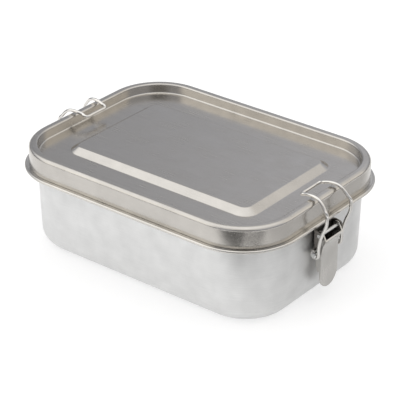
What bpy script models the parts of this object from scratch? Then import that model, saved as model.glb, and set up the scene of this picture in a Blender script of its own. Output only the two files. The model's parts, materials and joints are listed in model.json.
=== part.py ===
"""Stainless steel lunch box with an over-centre wire clip on each short end.

Metres, +Z up. The origin is under the middle of the tub's base, +X runs along the long side
through both clips. Run with: blender --background --python part.py
"""
import math

import bmesh
import bpy

# Lid, measured over its skirt.
LID_LENGTH = 0.1700
LID_WIDTH = 0.1248
LID_CORNER_RADIUS = 0.0316
LID_TOP_HEIGHT = 0.0606
LID_SKIRT_DEPTH = 0.0112
LID_SHEET = 0.0008
RIM_WIDTH = 0.0051
RIM_OUTER_RADIUS = 0.0012
RIM_INNER_RADIUS = 0.0010
WELL_DEPTH = 0.0058
WELL_FILLET = 0.0010
PANEL_MARGIN_LENGTH = 0.0222
PANEL_MARGIN_WIDTH = 0.0237
PANEL_CORNER_RADIUS = 0.0086
PANEL_BEVEL_RUN = 0.0042
PANEL_RISE = 0.0029

# Tub.
TUB_SHEET = 0.0007
BEAD_OVERHANG = 0.0026
BEAD_RADIUS = 0.0009
LEDGE_CLEARANCE = 0.0006
WALL_END_INSET = 0.0026
WALL_SIDE_INSET = 0.0054
WALL_CORNER_RADIUS = 0.0285
WALL_DRAFT = math.radians(1.7)
WALL_FILLET = 0.0008
BASE_FILLET = 0.0095
NECK_CLEARANCE = 0.0003
NECK_FILLET = 0.0005
NECK_HEIGHT = 0.0068

# Seal in the lid's rim channel.
SEAL_SIDE_CLEARANCE = 0.00015
SEAL_END_CLEARANCE = 0.0003
SEAL_CHAMFER = 0.0005

# Clip: the hinge axis is set out from the wall and down from the ledge.
HINGE_OUT = 0.0040
HINGE_DOWN = 0.0067
CRANK_LENGTH = 0.0105
OVER_CENTRE = math.radians(5.5)
HINGE_PIN_RADIUS = 0.0010
BAIL_PIN_RADIUS = 0.0009
PIN_CLEARANCE = 0.00008
PIN_END_OVERHANG = 0.0003
PIN_HEAD_RADIUS = 0.0015
PIN_HEAD_DEPTH = 0.0006
PIN_HEAD_CROWN = 0.7

BRACKET_SHEET = 0.0008
BRACKET_WALL_GAP = 0.0003
BRACKET_BEND_RADIUS = 0.0011
BRACKET_ABOVE_HINGE = 0.0025
BRACKET_BELOW_HINGE = 0.0100
BRACKET_EAR_RADIUS = 0.0023
BRACKET_EAR_START = -45
EAR_TOP_ANGLE = 60

LEVER_WIDTH = 0.0154
LEVER_SHEET = 0.0008
LEVER_SIDE_GAP = 0.0005
LEVER_EAR_RADIUS = 0.0023
LEVER_TONGUE_LENGTH = 0.0331
LEVER_TONGUE_OUT = 0.0009
LEVER_EAR_LENGTH = 0.0222
LEVER_EAR_CUT_UP = 0.0030
LEVER_EAR_CUT_IN = 0.0012
LEVER_LIP_OUT = 0.0038
LEVER_LIP_DOWN = 0.0027
LEVER_FLARE_DOWN = 0.0143
LEVER_FLARE_POWER = 3

WIRE_RADIUS = 0.0010
EYE_SIDE_GAP = 0.0005
EYE_WRAP_START = math.radians(110)
EYE_WRAP_END = math.radians(350)
EYE_STEPS = 7
BAIL_RIM_GAP = 0.00075
ARM_SHARES = ((0.30, 0.19), (0.46, 0.48), (0.67, 0.69), (0.88, 0.86), (1.0, 1.0))
ELBOW_OUT = 0.0071
ELBOW_UP = 0.0008
ELBOW_SPLAY = 0.0003
HOOK_POINTS = ((0.0067, -0.0067, 0.0), (0.0054, -0.0052, 0.0004), (0.0032, -0.0025, 0.0009),
               (0.0008, -0.0007, 0.0012), (-0.0022, 0.0, 0.0015), (-0.0055, -0.0001, 0.0018))
CROSSBAR_REACH = 0.0115
CROSSBAR_HALF_LENGTH = 0.0084
CROSSBAR_DROP = 0.0002
CROSSBAR_CORNER = 0.0016
CROSSBAR_RAMP = 0.0028
CROSSBAR_RAMP_SHARE = 0.6

# Facets.
CORNER_STEPS = 10
BEND_STEPS = 5
BASE_FILLET_STEPS = 8
FLARE_STEPS = 8
ROUND_STEPS = 32
CUT_MARGIN = 0.002

# Derived heights and places.
SKIRT_BOTTOM = LID_TOP_HEIGHT - LID_SKIRT_DEPTH
WELL_FLOOR = LID_TOP_HEIGHT - WELL_DEPTH
LEDGE_TOP = SKIRT_BOTTOM - LEDGE_CLEARANCE
LEDGE_UNDERSIDE = LEDGE_TOP - 2 * BEAD_RADIUS
NECK_INSET = LID_SHEET + NECK_CLEARANCE
NECK_TOP = LEDGE_TOP + NECK_HEIGHT
WALL_TOP = LEDGE_UNDERSIDE - WALL_FILLET
WALL_X = LID_LENGTH / 2 - WALL_END_INSET
HINGE_X = WALL_X + HINGE_OUT
HINGE_Z = LEDGE_UNDERSIDE - HINGE_DOWN
BAIL_PIVOT_OFFSET_X = -CRANK_LENGTH * math.sin(OVER_CENTRE)
BAIL_PIVOT_OFFSET_Z = -CRANK_LENGTH * math.cos(OVER_CENTRE)
BRACKET_INNER_Y = LEVER_WIDTH / 2 + LEVER_SIDE_GAP
BRACKET_OUTER_Y = BRACKET_INNER_Y + BRACKET_SHEET
EYE_Y = BRACKET_OUTER_Y + EYE_SIDE_GAP + WIRE_RADIUS

# Metal colours, linear RGB, with roughness.
SATIN_STEEL = ((0.60, 0.59, 0.57), 0.34)
WARM_STEEL = ((0.56, 0.54, 0.51), 0.30)
DARK_STEEL = ((0.38, 0.36, 0.34), 0.35)
POLISHED_WIRE = ((0.78, 0.77, 0.75), 0.15)
SILICONE = ((0.75, 0.75, 0.73), 0.60)


# Scene and object helpers.

def clear_scene():
    for item in list(bpy.data.objects):
        bpy.data.objects.remove(item, do_unlink=True)


def new_collection(name):
    collection = bpy.data.collections.new(name)
    bpy.context.scene.collection.children.link(collection)
    return collection


def make_material(name, look, metallic=1.0):
    colour, roughness = look
    material = bpy.data.materials.new(name)
    material.use_nodes = True
    shader = material.node_tree.nodes["Principled BSDF"]
    shader.inputs["Base Color"].default_value = (*colour, 1.0)
    shader.inputs["Roughness"].default_value = roughness
    shader.inputs["Metallic"].default_value = metallic
    return material


def object_from_bmesh(name, shape, collection):
    bmesh.ops.recalc_face_normals(shape, faces=shape.faces)
    mesh = bpy.data.meshes.new(name)
    shape.to_mesh(mesh)
    shape.free()
    item = bpy.data.objects.new(name, mesh)
    collection.objects.link(item)
    return item


def mesh_from_curve(item, collection):
    """Replace a curve object by a mesh object with welded caps."""
    bpy.context.view_layer.update()
    evaluated = item.evaluated_get(bpy.context.evaluated_depsgraph_get())
    mesh = bpy.data.meshes.new_from_object(evaluated)
    shape = bmesh.new()
    shape.from_mesh(mesh)
    bmesh.ops.remove_doubles(shape, verts=shape.verts, dist=1e-6)
    bmesh.ops.recalc_face_normals(shape, faces=shape.faces)
    shape.to_mesh(mesh)
    shape.free()
    solid = bpy.data.objects.new(item.name, mesh)
    solid.matrix_world = item.matrix_world
    collection.objects.link(solid)
    name = item.name
    bpy.data.objects.remove(item, do_unlink=True)
    solid.name = name
    return solid


def finish(item, material, parent=None):
    item.data.materials.clear()
    item.data.materials.append(material)
    if parent is not None:
        item.parent = parent
    return item


def shade_round(item, angle=math.radians(30)):
    item.data.shade_smooth()
    item.data.set_sharp_from_angle(angle=angle)


def add_boolean(item, tool, operation):
    modifier = item.modifiers.new(operation.lower(), "BOOLEAN")
    modifier.operation = operation
    modifier.solver = "EXACT"
    modifier.object = tool


def hide_cutter(item):
    item.hide_render = True
    item.display_type = "WIRE"
    return item


# Shape helpers.

def arc(centre, radius, start, end, steps):
    """Points on an arc in the plane of a profile, angles in degrees."""
    points = []
    for step in range(steps + 1):
        angle = math.radians(start + (end - start) * step / steps)
        points.append((centre[0] + radius * math.cos(angle), centre[1] + radius * math.sin(angle)))
    return points


def rounded_rectangle(length, width, radius, height):
    """Corner arcs of a rounded rectangle, as one closed ring of points."""
    points = []
    for sign_x, sign_y, start in ((1, 1, 0), (-1, 1, 90), (-1, -1, 180), (1, -1, 270)):
        centre = (sign_x * (length / 2 - radius), sign_y * (width / 2 - radius))
        points += [(x, y, height) for x, y in arc(centre, radius, start, start + 90, CORNER_STEPS)]
    return points


def inset_ring(inset, height):
    """Outline of the lid's skirt, moved inward by an inset (outward when negative)."""
    return rounded_rectangle(
        LID_LENGTH - 2 * inset, LID_WIDTH - 2 * inset, LID_CORNER_RADIUS - inset, height)


def loft(rings, cap_start=False, cap_end=False, closed=False):
    """Skin a row of rings that all have the same number of points."""
    shape = bmesh.new()
    loops = [[shape.verts.new(point) for point in ring] for ring in rings]
    pairs = list(zip(loops[:-1], loops[1:]))
    if closed:
        pairs.append((loops[-1], loops[0]))
    for lower, upper in pairs:
        count = len(lower)
        for index in range(count):
            following = (index + 1) % count
            shape.faces.new((lower[index], lower[following], upper[following], upper[index]))
    if cap_start:
        shape.faces.new(reversed(loops[0]))
    if cap_end:
        shape.faces.new(loops[-1])
    return shape


def ribbon(name, line, sweep, collection):
    """Open strip: a line of points extruded along a straight sweep."""
    shape = bmesh.new()
    verts = [shape.verts.new(point) for point in line]
    edges = [shape.edges.new(pair) for pair in zip(verts[:-1], verts[1:])]
    swept = bmesh.ops.extrude_edge_only(shape, edges=edges)["geom"]
    moved = [element for element in swept if isinstance(element, bmesh.types.BMVert)]
    bmesh.ops.translate(shape, verts=moved, vec=sweep)
    return object_from_bmesh(name, shape, collection)


def face_along_x(item, direction):
    """Turn an open sheet so that its outermost face along X looks along +X (1) or -X (-1)."""
    outermost = max(item.data.polygons, key=lambda face: direction * face.center.x)
    if outermost.normal.x * direction < 0:
        item.data.flip_normals()


def add_thickness(item, thickness):
    modifier = item.modifiers.new("thickness", "SOLIDIFY")
    modifier.thickness = thickness
    modifier.offset = -1.0
    modifier.use_even_offset = True


def flat_solid(name, outlines, thickness, collection):
    """Flat plate from closed outlines in its own XY plane; inner outlines are holes."""
    curve = bpy.data.curves.new(name, "CURVE")
    curve.dimensions = "2D"
    curve.fill_mode = "BOTH"
    curve.extrude = thickness / 2
    for outline in outlines:
        spline = curve.splines.new("POLY")
        spline.points.add(len(outline) - 1)
        for point, (x, y) in zip(spline.points, outline):
            point.co = (x, y, 0.0, 1.0)
        spline.use_cyclic_u = True
    item = bpy.data.objects.new(name, curve)
    collection.objects.link(item)
    return item


def side_plate(name, outlines, thickness, middle_y, collection):
    """Flat plate whose outlines are drawn in (X, Z), centred on a given Y."""
    item = flat_solid(name, outlines, thickness, collection)
    item.rotation_euler.x = math.pi / 2
    item.location.y = middle_y
    return mesh_from_curve(item, collection)


def pin(name, radius, half_length, collection, head=None):
    """Round pin along Y, turned from a half profile; a head is (inner face, radius, depth)."""
    profile = [(0.0, half_length), (radius, half_length)]
    if head is not None:
        face, head_radius, depth = head
        profile = [(0.0, face + depth), (head_radius * PIN_HEAD_CROWN, face + depth),
                   (head_radius, face + depth / 2), (head_radius, face), (radius, face)]
    profile += [(across, -along) for across, along in reversed(profile)]
    shape = bmesh.new()
    verts = [shape.verts.new((across, 0.0, along)) for across, along in profile]
    for start, end in zip(verts[:-1], verts[1:]):
        shape.edges.new((start, end))
    item = object_from_bmesh(name, shape, collection)
    modifier = item.modifiers.new("turn", "SCREW")
    modifier.axis = "Z"
    modifier.steps = ROUND_STEPS
    modifier.render_steps = ROUND_STEPS
    modifier.use_merge_vertices = True
    modifier.merge_threshold = 0.00001
    item.rotation_euler.x = -math.pi / 2
    return item


# Lid, tub and seal.

def lid_rings():
    rim_top = LID_TOP_HEIGHT
    profile = [(0.0, SKIRT_BOTTOM)]
    profile += arc((RIM_OUTER_RADIUS, rim_top - RIM_OUTER_RADIUS), RIM_OUTER_RADIUS, 180, 90, BEND_STEPS)
    profile += arc((RIM_WIDTH - RIM_INNER_RADIUS, rim_top - RIM_INNER_RADIUS), RIM_INNER_RADIUS,
                   90, 0, BEND_STEPS)
    profile += arc((RIM_WIDTH + WELL_FILLET, WELL_FLOOR + WELL_FILLET), WELL_FILLET, 180, 270, BEND_STEPS)
    rings = [inset_ring(inset, height) for inset, height in profile]
    panel_length = LID_LENGTH - 2 * PANEL_MARGIN_LENGTH
    panel_width = LID_WIDTH - 2 * PANEL_MARGIN_WIDTH
    rings.append(rounded_rectangle(panel_length, panel_width, PANEL_CORNER_RADIUS, WELL_FLOOR))
    rings.append(rounded_rectangle(
        panel_length - 2 * PANEL_BEVEL_RUN, panel_width - 2 * PANEL_BEVEL_RUN,
        PANEL_CORNER_RADIUS - PANEL_BEVEL_RUN, WELL_FLOOR + PANEL_RISE))
    return rings


def make_lid(collection, material):
    lid = object_from_bmesh("lid", loft(lid_rings(), cap_end=True), collection)
    face_along_x(lid, 1)
    add_thickness(lid, LID_SHEET)
    shade_round(lid)
    return finish(lid, material)


def wall_ring(inset, height):
    """Outline of the tub's wall at its top, moved inward by an inset."""
    return rounded_rectangle(
        LID_LENGTH - 2 * (WALL_END_INSET + inset), LID_WIDTH - 2 * (WALL_SIDE_INSET + inset),
        WALL_CORNER_RADIUS - inset, height)


def tub_rings():
    taper = (WALL_TOP - BASE_FILLET) * math.tan(WALL_DRAFT)
    wall = arc((taper + BASE_FILLET, BASE_FILLET), BASE_FILLET, 270, 180, BASE_FILLET_STEPS)
    wall += arc((-WALL_FILLET, WALL_TOP), WALL_FILLET, 0, 90, BEND_STEPS)
    bead_middle = BEAD_RADIUS - BEAD_OVERHANG
    edge = arc((bead_middle, LEDGE_UNDERSIDE + BEAD_RADIUS), BEAD_RADIUS, 270, 90, 2 * BEND_STEPS)
    edge += arc((NECK_INSET - NECK_FILLET, LEDGE_TOP + NECK_FILLET), NECK_FILLET, 270, 360, BEND_STEPS)
    edge.append((NECK_INSET, NECK_TOP))
    rings = [wall_ring(inset, height) for inset, height in wall]
    return rings + [inset_ring(inset, height) for inset, height in edge]


def make_tub(collection, material):
    tub = object_from_bmesh("tub", loft(tub_rings(), cap_start=True), collection)
    face_along_x(tub, 1)
    add_thickness(tub, TUB_SHEET)
    shade_round(tub)
    return finish(tub, material)


def make_seal(collection, material):
    outer = LID_SHEET + SEAL_SIDE_CLEARANCE
    inner = RIM_WIDTH - LID_SHEET - SEAL_SIDE_CLEARANCE
    bottom = NECK_TOP + SEAL_END_CLEARANCE
    top = LID_TOP_HEIGHT - LID_SHEET - SEAL_END_CLEARANCE
    cut = SEAL_CHAMFER
    profile = [(outer, bottom + cut), (outer, top - cut), (outer + cut, top), (inner - cut, top),
               (inner, top - cut), (inner, bottom + cut), (inner - cut, bottom), (outer + cut, bottom)]
    rings = [inset_ring(inset, height) for inset, height in profile]
    seal = object_from_bmesh("seal", loft(rings, closed=True), collection)
    shade_round(seal)
    return finish(seal, material)


# Clip pieces, drawn for the +X end with the hinge axis at the origin.

def ear_outline(radius, corners):
    """Round end about the hinge axis, joined to a row of straight corners."""
    return arc((0.0, 0.0), radius, EAR_TOP_ANGLE, 180, 2 * BEND_STEPS) + corners


def make_bracket(name, parts, cutters, material):
    base = -HINGE_OUT + BRACKET_WALL_GAP
    tip = BRACKET_EAR_RADIUS + CUT_MARGIN
    bend = BRACKET_BEND_RADIUS
    side = BRACKET_OUTER_Y
    section = [(tip, -side)]
    section += arc((base + bend, -side + bend), bend, 270, 180, BEND_STEPS)
    section += arc((base + bend, side - bend), bend, 180, 90, BEND_STEPS)
    section.append((tip, side))
    low, high = -BRACKET_BELOW_HINGE - CUT_MARGIN, BRACKET_ABOVE_HINGE + CUT_MARGIN
    line = [(x, y, low) for x, y in section]
    bracket = ribbon(name, line, (0.0, 0.0, high - low), parts)
    face_along_x(bracket, -1)
    add_thickness(bracket, BRACKET_SHEET)

    back = base - CUT_MARGIN
    outline = arc((0.0, 0.0), BRACKET_EAR_RADIUS, BRACKET_EAR_START, EAR_TOP_ANGLE, 2 * BEND_STEPS)
    outline += [(base + 2 * bend, BRACKET_ABOVE_HINGE), (back, BRACKET_ABOVE_HINGE),
                (back, -BRACKET_BELOW_HINGE), (base + bend, -BRACKET_BELOW_HINGE)]
    blank = side_plate(name + "_blank", [outline], 2 * side + 2 * CUT_MARGIN, 0.0, cutters)
    add_boolean(bracket, hide_cutter(blank), "INTERSECT")
    add_boolean(bracket, drill(name + "_drill", HINGE_PIN_RADIUS, 0.0, 0.0, side, cutters), "DIFFERENCE")
    return finish(bracket, material)


def drill(name, pin_radius, x, z, reach, cutters):
    """Cylinder along Y that leaves a running clearance around a pin."""
    shape = bmesh.new()
    radius = pin_radius + PIN_CLEARANCE
    bmesh.ops.create_cone(shape, cap_ends=True, segments=ROUND_STEPS, radius1=radius, radius2=radius,
                          depth=2 * (reach + CUT_MARGIN))
    item = object_from_bmesh(name, shape, cutters)
    item.rotation_euler.x = math.pi / 2
    item.location = (x, 0.0, z)
    return hide_cutter(item)


def lever_face():
    """Outer face of the lever in (X, Z), from past the tongue's end up to the flared lip."""
    flare_run = LEVER_LIP_OUT - LEVER_TONGUE_OUT
    flare_rise = LEVER_FLARE_DOWN - LEVER_LIP_DOWN
    face = [(LEVER_TONGUE_OUT, -LEVER_TONGUE_LENGTH - CUT_MARGIN)]
    for step in range(FLARE_STEPS + 1):
        share = step / FLARE_STEPS
        out = LEVER_TONGUE_OUT + flare_run * share ** LEVER_FLARE_POWER
        face.append((out, -LEVER_FLARE_DOWN + flare_rise * share))
    return face


def make_lever(name, parts, cutters, material):
    half_width = LEVER_WIDTH / 2
    face = lever_face()
    wide = half_width + CUT_MARGIN
    lever = ribbon(name, [(x, -wide, z) for x, z in face], (0.0, 2 * wide, 0.0), parts)
    face_along_x(lever, 1)
    add_thickness(lever, LEVER_SHEET)

    round_centre = -LEVER_TONGUE_LENGTH + half_width
    front = [(half_width, 0.0), (-half_width, 0.0)]
    front += arc((0.0, round_centre), half_width, 180, 360, 4 * BEND_STEPS)
    blank = flat_solid(name + "_blank", [front], 4 * LEVER_LIP_OUT, cutters)
    blank.rotation_euler = (math.pi / 2, 0.0, math.pi / 2)
    blank = mesh_from_curve(blank, cutters)
    add_boolean(lever, hide_cutter(blank), "INTERSECT")

    buried = LEVER_SHEET / 2
    ear = ear_outline(LEVER_EAR_RADIUS, lever_ear_corners(face, buried))
    for side, label in ((-1, "near"), (1, "far")):
        plate = side_plate(f"{name}_ear_{label}", [ear], LEVER_SHEET,
                           side * (half_width - LEVER_SHEET / 2), cutters)
        add_boolean(lever, hide_cutter(plate), "UNION")
    add_boolean(lever, drill(name + "_hinge_drill", HINGE_PIN_RADIUS, 0.0, 0.0, half_width, cutters),
                "DIFFERENCE")
    add_boolean(lever, drill(name + "_bail_drill", BAIL_PIN_RADIUS, BAIL_PIVOT_OFFSET_X,
                             BAIL_PIVOT_OFFSET_Z, half_width, cutters), "DIFFERENCE")
    return finish(lever, material)


def lever_ear_corners(face, buried):
    """Corners of an ear below the hinge: down its back edge and up inside the lever's face."""
    back, bottom = -LEVER_EAR_RADIUS, -LEVER_EAR_LENGTH
    corners = [(back, bottom + LEVER_EAR_CUT_UP), (back + LEVER_EAR_CUT_IN, bottom)]
    corners.append((LEVER_TONGUE_OUT - buried, bottom))
    corners += [(x - buried, z) for x, z in face[1:]]
    return corners


def bail_route():
    """Wire centre line on one side, from the eye up to the crossbar, relative to the bail pivot."""
    pivot_x = HINGE_X + BAIL_PIVOT_OFFSET_X
    pivot_z = HINGE_Z + BAIL_PIVOT_OFFSET_Z
    eye_radius = BAIL_PIN_RADIUS + PIN_CLEARANCE + WIRE_RADIUS
    route = []
    for step in range(EYE_STEPS + 1):
        angle = EYE_WRAP_START + (EYE_WRAP_END - EYE_WRAP_START) * step / EYE_STEPS
        route.append((eye_radius * math.cos(angle), EYE_Y, eye_radius * math.sin(angle)))

    skirt = LID_LENGTH / 2 - pivot_x
    elbow_x = skirt + ELBOW_OUT
    elbow_z = SKIRT_BOTTOM + ELBOW_UP - pivot_z
    splayed = EYE_Y + ELBOW_SPLAY
    for share_x, share_z in ARM_SHARES:
        route.append((share_x * elbow_x, EYE_Y + share_z * ELBOW_SPLAY, share_z * elbow_z))

    over_rim = LID_TOP_HEIGHT - pivot_z + BAIL_RIM_GAP + WIRE_RADIUS
    for out, up, inward in HOOK_POINTS:
        route.append((skirt + out, splayed - inward, over_rim + up))

    bar_x = skirt - CROSSBAR_REACH
    bar_y = CROSSBAR_HALF_LENGTH
    bar_z = LID_TOP_HEIGHT - pivot_z - CROSSBAR_DROP
    ramp_z = bar_z + CROSSBAR_RAMP_SHARE * (over_rim - bar_z)
    route += [
        (bar_x + CROSSBAR_RAMP, bar_y, ramp_z),
        (bar_x + CROSSBAR_CORNER / 2, bar_y, bar_z + CROSSBAR_CORNER / 4),
        (bar_x, bar_y - CROSSBAR_CORNER, bar_z),
        (bar_x, bar_y / 2, bar_z),
    ]
    return route


def make_bail(name, parts, material):
    near = bail_route()
    far = [(x, -y, z) for x, y, z in reversed(near)]
    points = near + far
    curve = bpy.data.curves.new(name, "CURVE")
    curve.dimensions = "3D"
    curve.bevel_depth = WIRE_RADIUS
    curve.bevel_resolution = 2
    curve.resolution_u = 3
    curve.use_fill_caps = True
    spline = curve.splines.new("BEZIER")
    spline.bezier_points.add(len(points) - 1)
    for bezier, point in zip(spline.bezier_points, points):
        bezier.co = point
        bezier.handle_left_type = "AUTO"
        bezier.handle_right_type = "AUTO"
    item = bpy.data.objects.new(name, curve)
    parts.objects.link(item)
    return finish(item, material)


def make_clip(side, turn, parts, cutters, metals):
    """Five pieces of one clip under an empty that turns the whole clip to its end of the box."""
    end = bpy.data.objects.new(f"{side}_end", None)
    end.rotation_euler.z = turn
    parts.objects.link(end)
    hinge = bpy.data.objects.new(f"{side}_hinge", None)
    hinge.location = (HINGE_X, 0.0, HINGE_Z)
    hinge.parent = end
    parts.objects.link(hinge)
    bail_pivot = bpy.data.objects.new(f"{side}_bail_pivot", None)
    bail_pivot.location = (BAIL_PIVOT_OFFSET_X, 0.0, BAIL_PIVOT_OFFSET_Z)
    bail_pivot.parent = hinge
    parts.objects.link(bail_pivot)

    before = set(cutters.objects)
    make_bracket(f"{side}_bracket", parts, cutters, metals["dark"]).parent = hinge
    make_lever(f"{side}_lever", parts, cutters, metals["warm"]).parent = hinge
    for cutter in set(cutters.objects) - before:
        cutter.parent = hinge

    hinge_pin = pin(f"{side}_hinge_pin", HINGE_PIN_RADIUS, BRACKET_OUTER_Y + PIN_END_OVERHANG, parts)
    shade_round(hinge_pin)
    finish(hinge_pin, metals["wire"], hinge)
    head = (EYE_Y + WIRE_RADIUS + PIN_END_OVERHANG, PIN_HEAD_RADIUS, PIN_HEAD_DEPTH)
    bail_pin = pin(f"{side}_bail_pin", BAIL_PIN_RADIUS, head[0], parts, head)
    shade_round(bail_pin)
    finish(bail_pin, metals["wire"], bail_pivot)
    make_bail(f"{side}_bail", parts, metals["wire"]).parent = bail_pivot


def main():
    clear_scene()
    parts = new_collection("lunch_box")
    cutters = new_collection("cutters")
    metals = {
        "warm": make_material("lever_steel", WARM_STEEL),
        "dark": make_material("bracket_steel", DARK_STEEL),
        "wire": make_material("spring_wire", POLISHED_WIRE),
    }
    make_tub(parts, make_material("tub_steel", SATIN_STEEL))
    make_lid(parts, make_material("lid_steel", SATIN_STEEL))
    make_seal(parts, make_material("seal_silicone", SILICONE, metallic=0.0))
    make_clip("right", 0.0, parts, cutters, metals)
    make_clip("left", math.pi, parts, cutters, metals)


main()
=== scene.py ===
"""Looks of a stainless steel lunch box with two wire clips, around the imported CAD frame.

Metres, in the frame of the CAD: +X along the long side through both clips, +Z up, the origin
under the middle of the tub.
"""
import json
import math

import bmesh
import bpy
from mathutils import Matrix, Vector


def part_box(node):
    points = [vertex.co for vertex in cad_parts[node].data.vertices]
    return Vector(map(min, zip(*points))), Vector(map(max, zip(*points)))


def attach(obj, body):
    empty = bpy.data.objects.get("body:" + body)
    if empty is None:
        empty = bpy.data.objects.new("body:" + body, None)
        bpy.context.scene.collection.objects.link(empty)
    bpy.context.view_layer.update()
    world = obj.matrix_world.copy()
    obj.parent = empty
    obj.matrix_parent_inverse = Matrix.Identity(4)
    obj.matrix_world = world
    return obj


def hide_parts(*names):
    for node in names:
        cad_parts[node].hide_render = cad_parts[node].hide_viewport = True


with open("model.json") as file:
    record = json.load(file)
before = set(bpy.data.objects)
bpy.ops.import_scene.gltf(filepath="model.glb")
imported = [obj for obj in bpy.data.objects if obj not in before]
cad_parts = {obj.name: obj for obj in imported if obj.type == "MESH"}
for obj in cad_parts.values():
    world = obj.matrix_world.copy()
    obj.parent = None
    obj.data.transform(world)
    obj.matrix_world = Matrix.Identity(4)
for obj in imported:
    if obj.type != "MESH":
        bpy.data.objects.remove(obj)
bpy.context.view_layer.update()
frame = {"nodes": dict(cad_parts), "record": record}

# Sizes read from the CAD.
LID_LOW, LID_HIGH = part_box("lid")
LID_LENGTH = LID_HIGH.x - LID_LOW.x
LID_WIDTH = LID_HIGH.y - LID_LOW.y
LID_TOP = LID_HIGH.z
SKIRT_BOTTOM = LID_LOW.z

# Lid profile: that of the CAD, but for a softer outer rim and a skirt that reaches a little lower.
LID_CORNER_RADIUS = 0.0316
LID_SHEET = 0.0008
SKIRT_LOWERED = 0.0005
RIM_WIDTH = 0.0051
RIM_OUTER_RADIUS = 0.0023
RIM_INNER_RADIUS = 0.0010
WELL_DEPTH = 0.0058
WELL_FILLET = 0.0010
PANEL_MARGIN_LENGTH = 0.0222
PANEL_MARGIN_WIDTH = 0.0237
PANEL_CORNER_RADIUS = 0.0086
PANEL_BEVEL_RUN = 0.0042
PANEL_RISE = 0.0029
PANEL_EDGE_RADIUS = 0.0012

# Tub profile: that of the CAD, but for a thinner sheet and a groove between the neck and the bead.
TUB_SHEET = 0.0005
BEAD_OVERHANG = 0.0026
BEAD_RADIUS = 0.0009
BEAD_INNER_ANGLE = 62
LEDGE_CLEARANCE = 0.0006
WALL_END_INSET = 0.0026
WALL_SIDE_INSET = 0.0054
WALL_CORNER_RADIUS = 0.0285
WALL_DRAFT = math.radians(1.7)
WALL_FILLET = 0.0008
BASE_FILLET = 0.0095
NECK_INSET = 0.0011
NECK_FILLET = 0.0005
NECK_HEIGHT = 0.0068

# Clip pieces.
WELD_DISTANCE = 0.000001
FLAT_ANGLE = math.radians(0.5)
WIRE_SUBDIVISIONS = 2
EDGE_BREAK = 0.00015
EDGE_SEGMENTS = 2
EDGE_ANGLE = math.radians(35)

# Facets and shading.
CORNER_STEPS = 36
BEND_STEPS = 8
FLAT_FACE_WEIGHT = 100

# Camera: azimuth and elevation round the aim point in degrees, lens and sensor in millimetres.
CAMERA_AZIMUTH = 38.418
CAMERA_ELEVATION = 28.693
CAMERA_DISTANCE = 0.9566
CAMERA_AIM = Vector((0.0, 0.0, 0.02125))
CAMERA_LENS = 156.2
CAMERA_SENSOR = 36.0
CAMERA_SHIFT = (0.0037, 0.0307)

# Steel finish: how far the grain, the cloudy marks and the scratches change the surface.
NOISE_BAND = (0.25, 0.75)
GRAIN_TONE = 0.035
GRAIN_GLOSS = 0.05
GRAIN_DEPTH = 0.000004
GRAIN_DETAIL = 3.0
STAIN_SHARE = 0.06
BRACKET_STAIN = 0.25
CLOUDS_PER_METRE = 90.0
CLOUD_GLOSS = 0.05
CLOUD_DETAIL = 4.0
SCRATCH_SCALE = (18.0, 1400.0, 300.0)
SCRATCH_TURN = (0.0, 0.0, math.radians(28))
SCRATCH_BAND = (0.78, 0.84)
SCRATCH_GLOSS = 0.06
SCRATCH_SHARE = 0.35
SCRATCH_DETAIL = 1.0

# Silicone finish.
SILICONE_COLOUR = (0.78, 0.78, 0.76)
SILICONE_ROUGHNESS = 0.52
SILICONE_TONE = (0.94, 1.04)
SILICONE_GLOSS = (-0.06, 0.06)
SILICONE_DEPTH = 0.00003
SPECKLES_PER_METRE = 2200.0
SPECKLE_DETAIL = 2.0

# Brushing, as features per metre along X, Y and Z.
ALONG_LENGTH = (45.0, 2600.0, 2600.0)
AROUND_WALL = (70.0, 70.0, 2600.0)
DOWN_LEVER = (5200.0, 5200.0, 90.0)

# Steels: colour, roughness, brushing.
LID_STEEL = ((0.535, 0.512, 0.48), 0.22, ALONG_LENGTH)
TUB_STEEL = ((0.69, 0.69, 0.685), 0.38, AROUND_WALL)
BEAD_STEEL = ((0.62, 0.60, 0.565), 0.20, AROUND_WALL)
LEVER_STEEL = ((0.57, 0.555, 0.53), 0.30, DOWN_LEVER)
# The brackets' steel is painted near-black: painted shade of the hollow behind each lever, under the bead.
BRACKET_STEEL_PAINTED_SHADE = ((0.22, 0.205, 0.19), 0.32, DOWN_LEVER)
WIRE_STEEL = ((0.72, 0.70, 0.67), 0.07, DOWN_LEVER)
PIN_STEEL = ((0.70, 0.70, 0.69), 0.18, DOWN_LEVER)

# Studio: the floor, soft grey cards that lie on it and show only in reflections, and soft patches
# of light or dark in the surroundings.
FLOOR_HALF_SIZE = 3.0
FLOOR_COLOUR = (0.50, 0.50, 0.50)
FLOOR_GLOW = 0.60
FLOOR_ROUGHNESS = 0.9
FLOOR_SHINE = 0.1
CARD_COLOUR = (0.03, 0.03, 0.03)
CARD_HEIGHT = 0.0005
CARD_SEGMENTS = 64
# Name, azimuth, distance, radius towards the box, width over depth, share of soft edge, cover.
CARDS = (
    ("front_card", 41.0, 0.232, 0.108, 1.30, 0.30, 0.93),
    ("side_card", 104.0, 0.290, 0.250, 1.0, 0.42, 0.43),
)
# Sine of the elevation, from the horizon to overhead, and the colour of the surroundings there.
SKY = (
    (0.0, (0.25, 0.25, 0.25)),
    (0.48, (0.68, 0.70, 0.76)),
    (0.7, (0.95, 0.93, 0.9)),
    (1.0, (1.4, 1.4, 1.4)),
)
# Azimuth, elevation, inner and outer half angle in degrees, colour.
GLOWS = (
    (-69, 54, 14, 40, (1.42, 1.42, 1.42)),
    (-38, 26, 8, 26, (1.50, 1.48, 1.43)),
    (141, 29, 8, 24, (1.15, 1.11, 1.04)),
    (240, 27, 5, 28, (0.38, 0.39, 0.42)),
    (38, 15, 12, 30, (0.25, 0.25, 0.25)),
)


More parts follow.
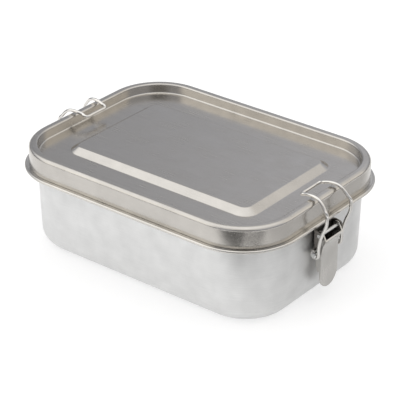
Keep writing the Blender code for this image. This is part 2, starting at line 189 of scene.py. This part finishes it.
def direction(azimuth, elevation):
    """Unit vector towards an azimuth and elevation in degrees; azimuth 0 is -Y and 90 is +X."""
    a, e = math.radians(azimuth), math.radians(elevation)
    return Vector((math.sin(a) * math.cos(e), -math.cos(a) * math.cos(e), math.sin(e)))


# Mesh helpers.

def arc(centre, radius, start, end, steps):
    points = []
    for step in range(steps + 1):
        angle = math.radians(start + (end - start) * step / steps)
        points.append((centre[0] + radius * math.cos(angle), centre[1] + radius * math.sin(angle)))
    return points


def rounded_rectangle(length, width, radius, height):
    points = []
    for sign_x, sign_y, start in ((1, 1, 0), (-1, 1, 90), (-1, -1, 180), (1, -1, 270)):
        centre = (sign_x * (length / 2 - radius), sign_y * (width / 2 - radius))
        points += [(x, y, height) for x, y in arc(centre, radius, start, start + 90, CORNER_STEPS)]
    return points


def object_from_rings(name, rings, cap):
    """Skin a row of rings and fill the first or last one."""
    shape = bmesh.new()
    loops = [[shape.verts.new(point) for point in ring] for ring in rings]
    for lower, upper in zip(loops[:-1], loops[1:]):
        count = len(lower)
        for index in range(count):
            following = (index + 1) % count
            shape.faces.new((lower[index], lower[following], upper[following], upper[index]))
    shape.faces.new(loops[0] if cap == "first" else loops[-1])
    bmesh.ops.recalc_face_normals(shape, faces=shape.faces)
    mesh = bpy.data.meshes.new(name)
    shape.to_mesh(mesh)
    shape.free()
    item = bpy.data.objects.new(name, mesh)
    bpy.context.scene.collection.objects.link(item)
    outermost = max(mesh.polygons, key=lambda face: face.center.x)
    if outermost.normal.x < 0:
        mesh.flip_normals()
    return item


def sheet_metal(item, thickness):
    """Give an outer skin its thickness, inward, with even highlights on its flats."""
    solid = item.modifiers.new("thickness", "SOLIDIFY")
    solid.thickness = thickness
    solid.offset = -1.0
    solid.use_even_offset = True
    item.data.shade_smooth()
    item.modifiers.new("even_shading", "WEIGHTED_NORMAL").weight = FLAT_FACE_WEIGHT


# Lid and tub.

def lid_ring(inset, height):
    return rounded_rectangle(LID_LENGTH - 2 * inset, LID_WIDTH - 2 * inset, LID_CORNER_RADIUS - inset, height)


def panel_ring(inset, height):
    return rounded_rectangle(
        LID_LENGTH - 2 * (PANEL_MARGIN_LENGTH + inset), LID_WIDTH - 2 * (PANEL_MARGIN_WIDTH + inset),
        PANEL_CORNER_RADIUS - inset, height)


def make_lid(material):
    floor = LID_TOP - WELL_DEPTH
    profile = [(0.0, SKIRT_BOTTOM - SKIRT_LOWERED)]
    profile += arc((RIM_OUTER_RADIUS, LID_TOP - RIM_OUTER_RADIUS), RIM_OUTER_RADIUS, 180, 90, BEND_STEPS)
    profile += arc((RIM_WIDTH - RIM_INNER_RADIUS, LID_TOP - RIM_INNER_RADIUS), RIM_INNER_RADIUS,
                   90, 0, BEND_STEPS)
    profile += arc((RIM_WIDTH + WELL_FILLET, floor + WELL_FILLET), WELL_FILLET, 180, 270, BEND_STEPS)
    rings = [lid_ring(inset, height) for inset, height in profile]

    slope = math.degrees(math.atan2(PANEL_RISE, PANEL_BEVEL_RUN))
    tangent = PANEL_EDGE_RADIUS * math.tan(math.radians(slope / 2))
    foot = arc((-tangent, floor + PANEL_EDGE_RADIUS), PANEL_EDGE_RADIUS, 270, 270 + slope, BEND_STEPS // 2)
    brow = arc((PANEL_BEVEL_RUN + tangent, floor + PANEL_RISE - PANEL_EDGE_RADIUS), PANEL_EDGE_RADIUS,
               90 + slope, 90, BEND_STEPS // 2)
    rings += [panel_ring(inset, height) for inset, height in foot + brow]

    lid = object_from_rings("lid_shell", rings, "last")
    sheet_metal(lid, LID_SHEET)
    lid.data.materials.append(material)
    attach(lid, "lid")
    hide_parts("lid")


def wall_ring(inset, height):
    return rounded_rectangle(
        LID_LENGTH - 2 * (WALL_END_INSET + inset), LID_WIDTH - 2 * (WALL_SIDE_INSET + inset),
        WALL_CORNER_RADIUS - inset, height)


def make_tub(material, bead_material):
    ledge_top = SKIRT_BOTTOM - LEDGE_CLEARANCE
    ledge_underside = ledge_top - 2 * BEAD_RADIUS
    wall_top = ledge_underside - WALL_FILLET
    taper = (wall_top - BASE_FILLET) * math.tan(WALL_DRAFT)
    wall = arc((taper + BASE_FILLET, BASE_FILLET), BASE_FILLET, 270, 180, 2 * BEND_STEPS)
    wall += arc((-WALL_FILLET, wall_top), WALL_FILLET, 0, 90, BEND_STEPS)
    edge = arc((BEAD_RADIUS - BEAD_OVERHANG, ledge_underside + BEAD_RADIUS), BEAD_RADIUS,
               270, BEAD_INNER_ANGLE, 3 * BEND_STEPS)
    groove = edge[-1][1]
    edge += arc((NECK_INSET - NECK_FILLET, groove + NECK_FILLET), NECK_FILLET, 270, 360, BEND_STEPS)
    edge.append((NECK_INSET, ledge_top + NECK_HEIGHT))
    rings = [wall_ring(inset, height) for inset, height in wall]
    rings += [lid_ring(inset, height) for inset, height in edge]

    tub = object_from_rings("tub_shell", rings, "first")
    sheet_metal(tub, TUB_SHEET)
    tub.data.materials.append(material)
    tub.data.materials.append(bead_material)
    for face in tub.data.polygons:
        face.material_index = int(face.center.z > ledge_underside - WALL_FILLET)
    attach(tub, "box")
    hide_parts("tub")


# Clip pieces: the CAD's shapes, with rounded wires and softened sheet edges.

def refined_copy(node_name, material):
    """Welded copy of a CAD node that stands for it on the same body."""
    record = frame["record"]
    body = next(name for name, nodes in record["behaviour"]["bodies"].items() if node_name in nodes)
    shape = bmesh.new()
    shape.from_mesh(frame["nodes"][node_name].data)
    bmesh.ops.remove_doubles(shape, verts=shape.verts, dist=WELD_DISTANCE)
    bmesh.ops.dissolve_limit(shape, angle_limit=FLAT_ANGLE, verts=shape.verts, edges=shape.edges)
    mesh = bpy.data.meshes.new(node_name + "_fine")
    shape.to_mesh(mesh)
    shape.free()
    mesh.materials.clear()
    mesh.materials.append(material)
    mesh.shade_smooth()
    piece = bpy.data.objects.new(node_name + "_fine", mesh)
    bpy.context.scene.collection.objects.link(piece)
    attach(piece, body)
    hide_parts(node_name)
    return piece


def make_wire(node_name, material):
    refined_copy(node_name, material).modifiers.new("round", "SUBSURF").levels = WIRE_SUBDIVISIONS


def make_sheet_piece(node_name, material):
    piece = refined_copy(node_name, material)
    bevel = piece.modifiers.new("edges", "BEVEL")
    bevel.width = EDGE_BREAK
    bevel.segments = EDGE_SEGMENTS
    bevel.limit_method = "ANGLE"
    bevel.angle_limit = EDGE_ANGLE
    piece.modifiers.new("even_shading", "WEIGHTED_NORMAL").weight = FLAT_FACE_WEIGHT


# Materials. Every grain is a noise in object space, stretched along one direction.

def node_output(tree, kind, settings, links, output=0):
    """Add a node, set its properties and sockets, link its inputs and return one output."""
    node = tree.nodes.new(kind)
    for name, value in settings.items():
        if hasattr(node, name):
            setattr(node, name, value)
        else:
            node.inputs[name].default_value = value
    for name, source in links.items():
        tree.links.new(source, node.inputs[name])
    return node.outputs[output]


def stretched_noise(tree, scale, detail, turn=(0.0, 0.0, 0.0)):
    """Noise between 0 and 1 whose features per metre differ along X, Y and Z."""
    place = node_output(tree, "ShaderNodeTexCoord", {}, {}, "Object")
    turned = node_output(tree, "ShaderNodeMapping", {"Rotation": turn}, {"Vector": place})
    scaled = node_output(tree, "ShaderNodeMapping", {"Scale": scale}, {"Vector": turned})
    return node_output(tree, "ShaderNodeTexNoise", {"Scale": 1.0, "Detail": detail}, {"Vector": scaled})


def remap(tree, value, source, target):
    settings = {"From Min": source[0], "From Max": source[1], "To Min": target[0], "To Max": target[1]}
    return node_output(tree, "ShaderNodeMapRange", settings, {"Value": value})


def combine(tree, operation, first, second):
    node = tree.nodes.new("ShaderNodeMath")
    node.operation = operation
    tree.links.new(first, node.inputs[0])
    tree.links.new(second, node.inputs[1])
    return node.outputs[0]


def surface(name, colour, roughness, metallic, tone, gloss, height, depth):
    """Shader whose colour is scaled by tone, roughness shifted by gloss and surface raised by height."""
    material = bpy.data.materials.new(name)
    material.use_nodes = True
    tree = material.node_tree
    shader = tree.nodes["Principled BSDF"]
    shader.inputs["Metallic"].default_value = metallic
    scaled = tree.nodes.new("ShaderNodeVectorMath")
    scaled.operation = "SCALE"
    scaled.inputs[0].default_value = colour
    tree.links.new(tone(tree), scaled.inputs["Scale"])
    tree.links.new(scaled.outputs[0], shader.inputs["Base Color"])
    shifted = tree.nodes.new("ShaderNodeMath")
    shifted.inputs[0].default_value = roughness
    tree.links.new(gloss(tree), shifted.inputs[1])
    tree.links.new(shifted.outputs[0], shader.inputs["Roughness"])
    bump = node_output(tree, "ShaderNodeBump", {"Strength": 1.0, "Distance": depth}, {"Height": height(tree)})
    tree.links.new(bump, shader.inputs["Normal"])
    return material


def steel(name, colour, roughness, brush, stain=STAIN_SHARE):
    """Brushed stainless steel: fine grain, cloudy handling marks and a few hairline scratches."""
    def grain(tree):
        return stretched_noise(tree, brush, GRAIN_DETAIL)

    def clouds(tree):
        return stretched_noise(tree, (CLOUDS_PER_METRE,) * 3, CLOUD_DETAIL)

    def scratches(tree):
        long_way = stretched_noise(tree, SCRATCH_SCALE, SCRATCH_DETAIL, SCRATCH_TURN)
        return remap(tree, long_way, SCRATCH_BAND, (0.0, 1.0))

    def tone(tree):
        streaks = remap(tree, grain(tree), NOISE_BAND, (1 - GRAIN_TONE, 1 + GRAIN_TONE))
        marks = remap(tree, clouds(tree), NOISE_BAND, (1 - stain, 1 + stain))
        return combine(tree, "MULTIPLY", streaks, marks)

    def gloss(tree):
        streaks = remap(tree, grain(tree), NOISE_BAND, (-GRAIN_GLOSS, GRAIN_GLOSS))
        marks = remap(tree, clouds(tree), NOISE_BAND, (CLOUD_GLOSS, -CLOUD_GLOSS))
        rubbed = remap(tree, scratches(tree), (0.0, 1.0), (0.0, SCRATCH_GLOSS))
        return combine(tree, "ADD", combine(tree, "ADD", streaks, marks), rubbed)

    def height(tree):
        cuts = remap(tree, scratches(tree), (0.0, 1.0), (0.0, SCRATCH_SHARE))
        return combine(tree, "SUBTRACT", grain(tree), cuts)

    return surface(name, colour, roughness, 1.0, tone, gloss, height, GRAIN_DEPTH)


def silicone(name):
    """Milky silicone with a faint moulded texture."""
    def speckle(tree):
        return stretched_noise(tree, (SPECKLES_PER_METRE,) * 3, SPECKLE_DETAIL)

    def tone(tree):
        return remap(tree, speckle(tree), NOISE_BAND, SILICONE_TONE)

    def gloss(tree):
        return remap(tree, speckle(tree), NOISE_BAND, SILICONE_GLOSS)

    return surface(name, SILICONE_COLOUR, SILICONE_ROUGHNESS, 0.0, tone, gloss, speckle, SILICONE_DEPTH)


def dress_cad_nodes(materials):
    for name, node in frame["nodes"].items():
        for part, material in materials.items():
            if name.endswith(part):
                node.data.materials.clear()
                node.data.materials.append(material)


# Studio.

def make_world():
    world = bpy.data.worlds.new("studio")
    bpy.context.scene.world = world
    world.use_nodes = True
    tree = world.node_tree
    nodes, links = tree.nodes, tree.links
    background = nodes["Background"]
    coordinates = nodes.new("ShaderNodeTexCoord")
    split = nodes.new("ShaderNodeSeparateXYZ")
    links.new(coordinates.outputs["Generated"], split.inputs[0])
    ramp = nodes.new("ShaderNodeValToRGB")
    links.new(split.outputs["Z"], ramp.inputs[0])
    stops = ramp.color_ramp.elements
    for position, _ in SKY[1:-1]:
        stops.new(position)
    for stop, (_, colour) in zip(stops, SKY):
        stop.color = (*colour, 1.0)
    total = ramp.outputs["Color"]
    for azimuth, elevation, inner, outer, colour in GLOWS:
        dot = nodes.new("ShaderNodeVectorMath")
        dot.operation = "DOT_PRODUCT"
        links.new(coordinates.outputs["Generated"], dot.inputs[0])
        dot.inputs[1].default_value = direction(azimuth, elevation)
        fade = nodes.new("ShaderNodeMapRange")
        fade.interpolation_type = "SMOOTHSTEP"
        fade.inputs["From Min"].default_value = math.cos(math.radians(outer))
        fade.inputs["From Max"].default_value = math.cos(math.radians(inner))
        links.new(dot.outputs["Value"], fade.inputs["Value"])
        mix = nodes.new("ShaderNodeMix")
        mix.data_type = "RGBA"
        links.new(fade.outputs["Result"], mix.inputs["Factor"])
        links.new(total, mix.inputs[6])
        mix.inputs[7].default_value = (*colour, 1)
        total = mix.outputs[2]
    links.new(total, background.inputs["Color"])


def make_floor():
    mesh = bpy.data.meshes.new("studio_floor")
    shape = bmesh.new()
    bmesh.ops.create_grid(shape, x_segments=1, y_segments=1, size=FLOOR_HALF_SIZE)
    shape.to_mesh(mesh)
    shape.free()
    floor = bpy.data.objects.new("studio_floor", mesh)
    bpy.context.scene.collection.objects.link(floor)
    material = bpy.data.materials.new("pale_floor")
    material.use_nodes = True
    shader = material.node_tree.nodes["Principled BSDF"]
    shader.inputs["Base Color"].default_value = (*FLOOR_COLOUR, 1.0)
    shader.inputs["Roughness"].default_value = FLOOR_ROUGHNESS
    shader.inputs["Specular IOR Level"].default_value = FLOOR_SHINE
    shader.inputs["Emission Color"].default_value = (1.0, 1.0, 1.0, 1.0)
    shader.inputs["Emission Strength"].default_value = FLOOR_GLOW
    mesh.materials.append(material)


def make_card(name, azimuth, distance, radius, stretch, soft, cover):
    mesh = bpy.data.meshes.new(name)
    shape = bmesh.new()
    bmesh.ops.create_circle(shape, cap_ends=True, segments=CARD_SEGMENTS, radius=1.0)
    shape.to_mesh(mesh)
    shape.free()
    card = bpy.data.objects.new(name, mesh)
    bpy.context.scene.collection.objects.link(card)
    card.location = direction(azimuth, 0.0) * distance
    card.location.z = CARD_HEIGHT
    card.rotation_euler.z = math.radians(azimuth)
    card.scale = (radius * stretch, radius, 1.0)
    card.visible_camera = False
    card.visible_diffuse = False
    card.visible_shadow = False
    material = bpy.data.materials.new(name)
    material.use_nodes = True
    tree = material.node_tree
    shader = tree.nodes["Principled BSDF"]
    shader.inputs["Base Color"].default_value = (*CARD_COLOUR, 1.0)
    place = node_output(tree, "ShaderNodeTexCoord", {}, {}, "Object")
    length = tree.nodes.new("ShaderNodeVectorMath")
    length.operation = "LENGTH"
    tree.links.new(place, length.inputs[0])
    alpha = remap(tree, length.outputs["Value"], (1.0 - soft, 1.0), (cover, 0.0))
    tree.links.new(alpha, shader.inputs["Alpha"])
    mesh.materials.append(material)


def make_camera():
    data = bpy.data.cameras.new("camera")
    data.lens = CAMERA_LENS
    data.sensor_width = CAMERA_SENSOR
    data.shift_x, data.shift_y = CAMERA_SHIFT
    camera = bpy.data.objects.new("camera", data)
    back = direction(CAMERA_AZIMUTH, CAMERA_ELEVATION)
    camera.location = CAMERA_AIM + back * CAMERA_DISTANCE
    camera.rotation_mode = "QUATERNION"
    camera.rotation_quaternion = (-back).to_track_quat("-Z", "Y")
    bpy.context.scene.collection.objects.link(camera)
    bpy.context.scene.camera = camera


bpy.context.scene.view_settings.view_transform = "Standard"
make_camera()
make_world()
make_floor()
for card in CARDS:
    make_card(*card)
make_lid(steel("lid_steel", *LID_STEEL))
make_tub(steel("tub_steel", *TUB_STEEL), steel("bead_steel", *BEAD_STEEL))
lever_steel = steel("lever_steel", *LEVER_STEEL)
# Dark bracket steel: painted shade of the hollow between each lever and the tub wall.
bracket_steel = steel("bracket_steel", *BRACKET_STEEL_PAINTED_SHADE, stain=BRACKET_STAIN)
wire_steel = steel("wire_steel", *WIRE_STEEL)
for side in ("left", "right"):
    make_sheet_piece(side + "_lever", lever_steel)
    make_sheet_piece(side + "_bracket", bracket_steel)
    make_wire(side + "_bail", wire_steel)
dress_cad_nodes({
    "seal": silicone("seal_silicone"),
    "pin": steel("pin_steel", *PIN_STEEL),
})
